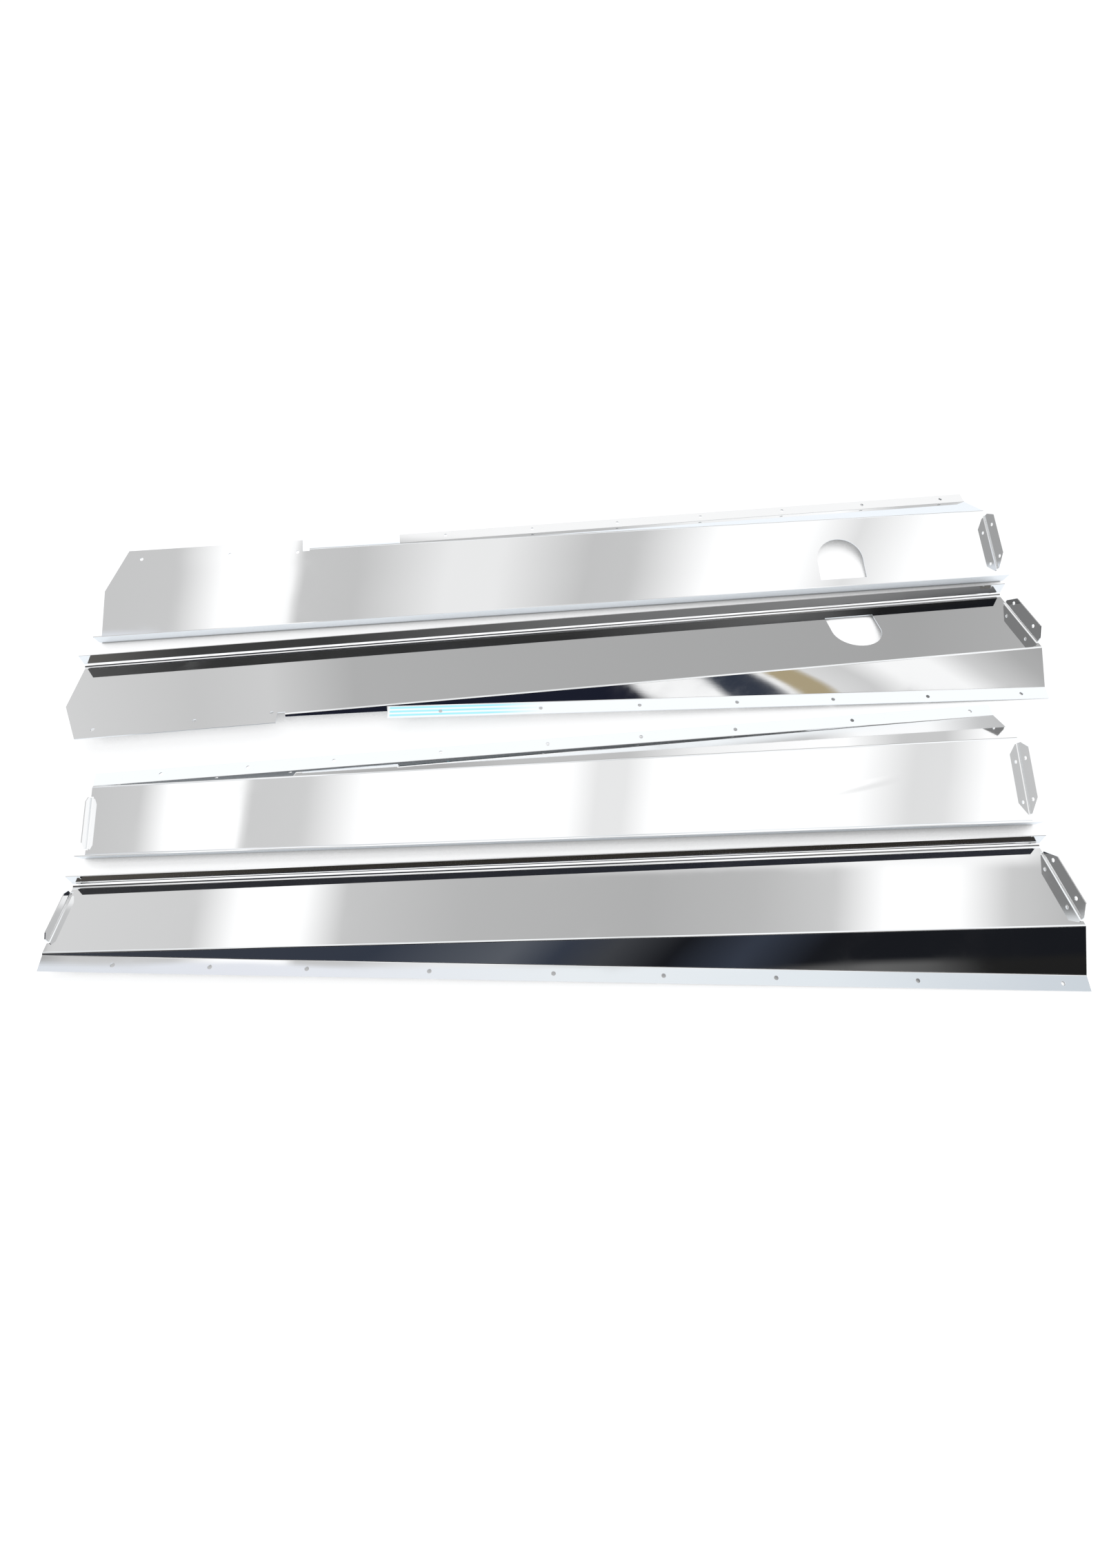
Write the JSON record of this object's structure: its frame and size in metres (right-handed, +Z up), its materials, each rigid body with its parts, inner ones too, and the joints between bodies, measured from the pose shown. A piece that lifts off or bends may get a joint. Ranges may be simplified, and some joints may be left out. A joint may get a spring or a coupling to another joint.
{
  "type": "running board panel set",
  "caption": "Mirrored pairs of polished sheet-steel running-board panels with folded flanges, bolt holes, end tabs and a round-ended cut-out, laid out on the floor.",
  "frame": {"origin": "centre of the set's outline on the floor that the panels lie on", "axes": "+X along the panels towards their flanged right ends, +Y from the short pair to the long pair, +Z up"},
  "size_m": [1.7323, 1.0188, 0.0554],
  "materials": {
    "short_panel_near_steel": "mirror-polished stainless steel sheet with fine polish lines",
    "short_panel_far_steel": "mirror-polished stainless steel sheet with fine polish lines",
    "long_panel_near_steel": "mirror-polished stainless steel sheet with fine polish lines",
    "long_panel_far_steel": "mirror-polished stainless steel sheet with fine polish lines"
  },
  "bodies": {
    "short_panel_near": {"short_panel_near": "short_panel_near_steel"},
    "short_panel_far": {"short_panel_far": "short_panel_far_steel"},
    "long_panel_near": {"long_panel_near": "long_panel_near_steel"},
    "long_panel_far": {"long_panel_far": "long_panel_far_steel"}
  },
  "joints": [
    {"name": "lift_short_panel_far", "type": "slide", "parent": "short_panel_near", "child": "short_panel_far", "axis": [0, 0, 1], "range_m": [0, 0.3]},
    {"name": "lift_long_panel_near", "type": "slide", "parent": "short_panel_near", "child": "long_panel_near", "axis": [0, 0, 1], "range_m": [0, 0.3]},
    {"name": "lift_long_panel_far", "type": "slide", "parent": "short_panel_near", "child": "long_panel_far", "axis": [0, 0, 1], "range_m": [0, 0.3]}
  ]
}
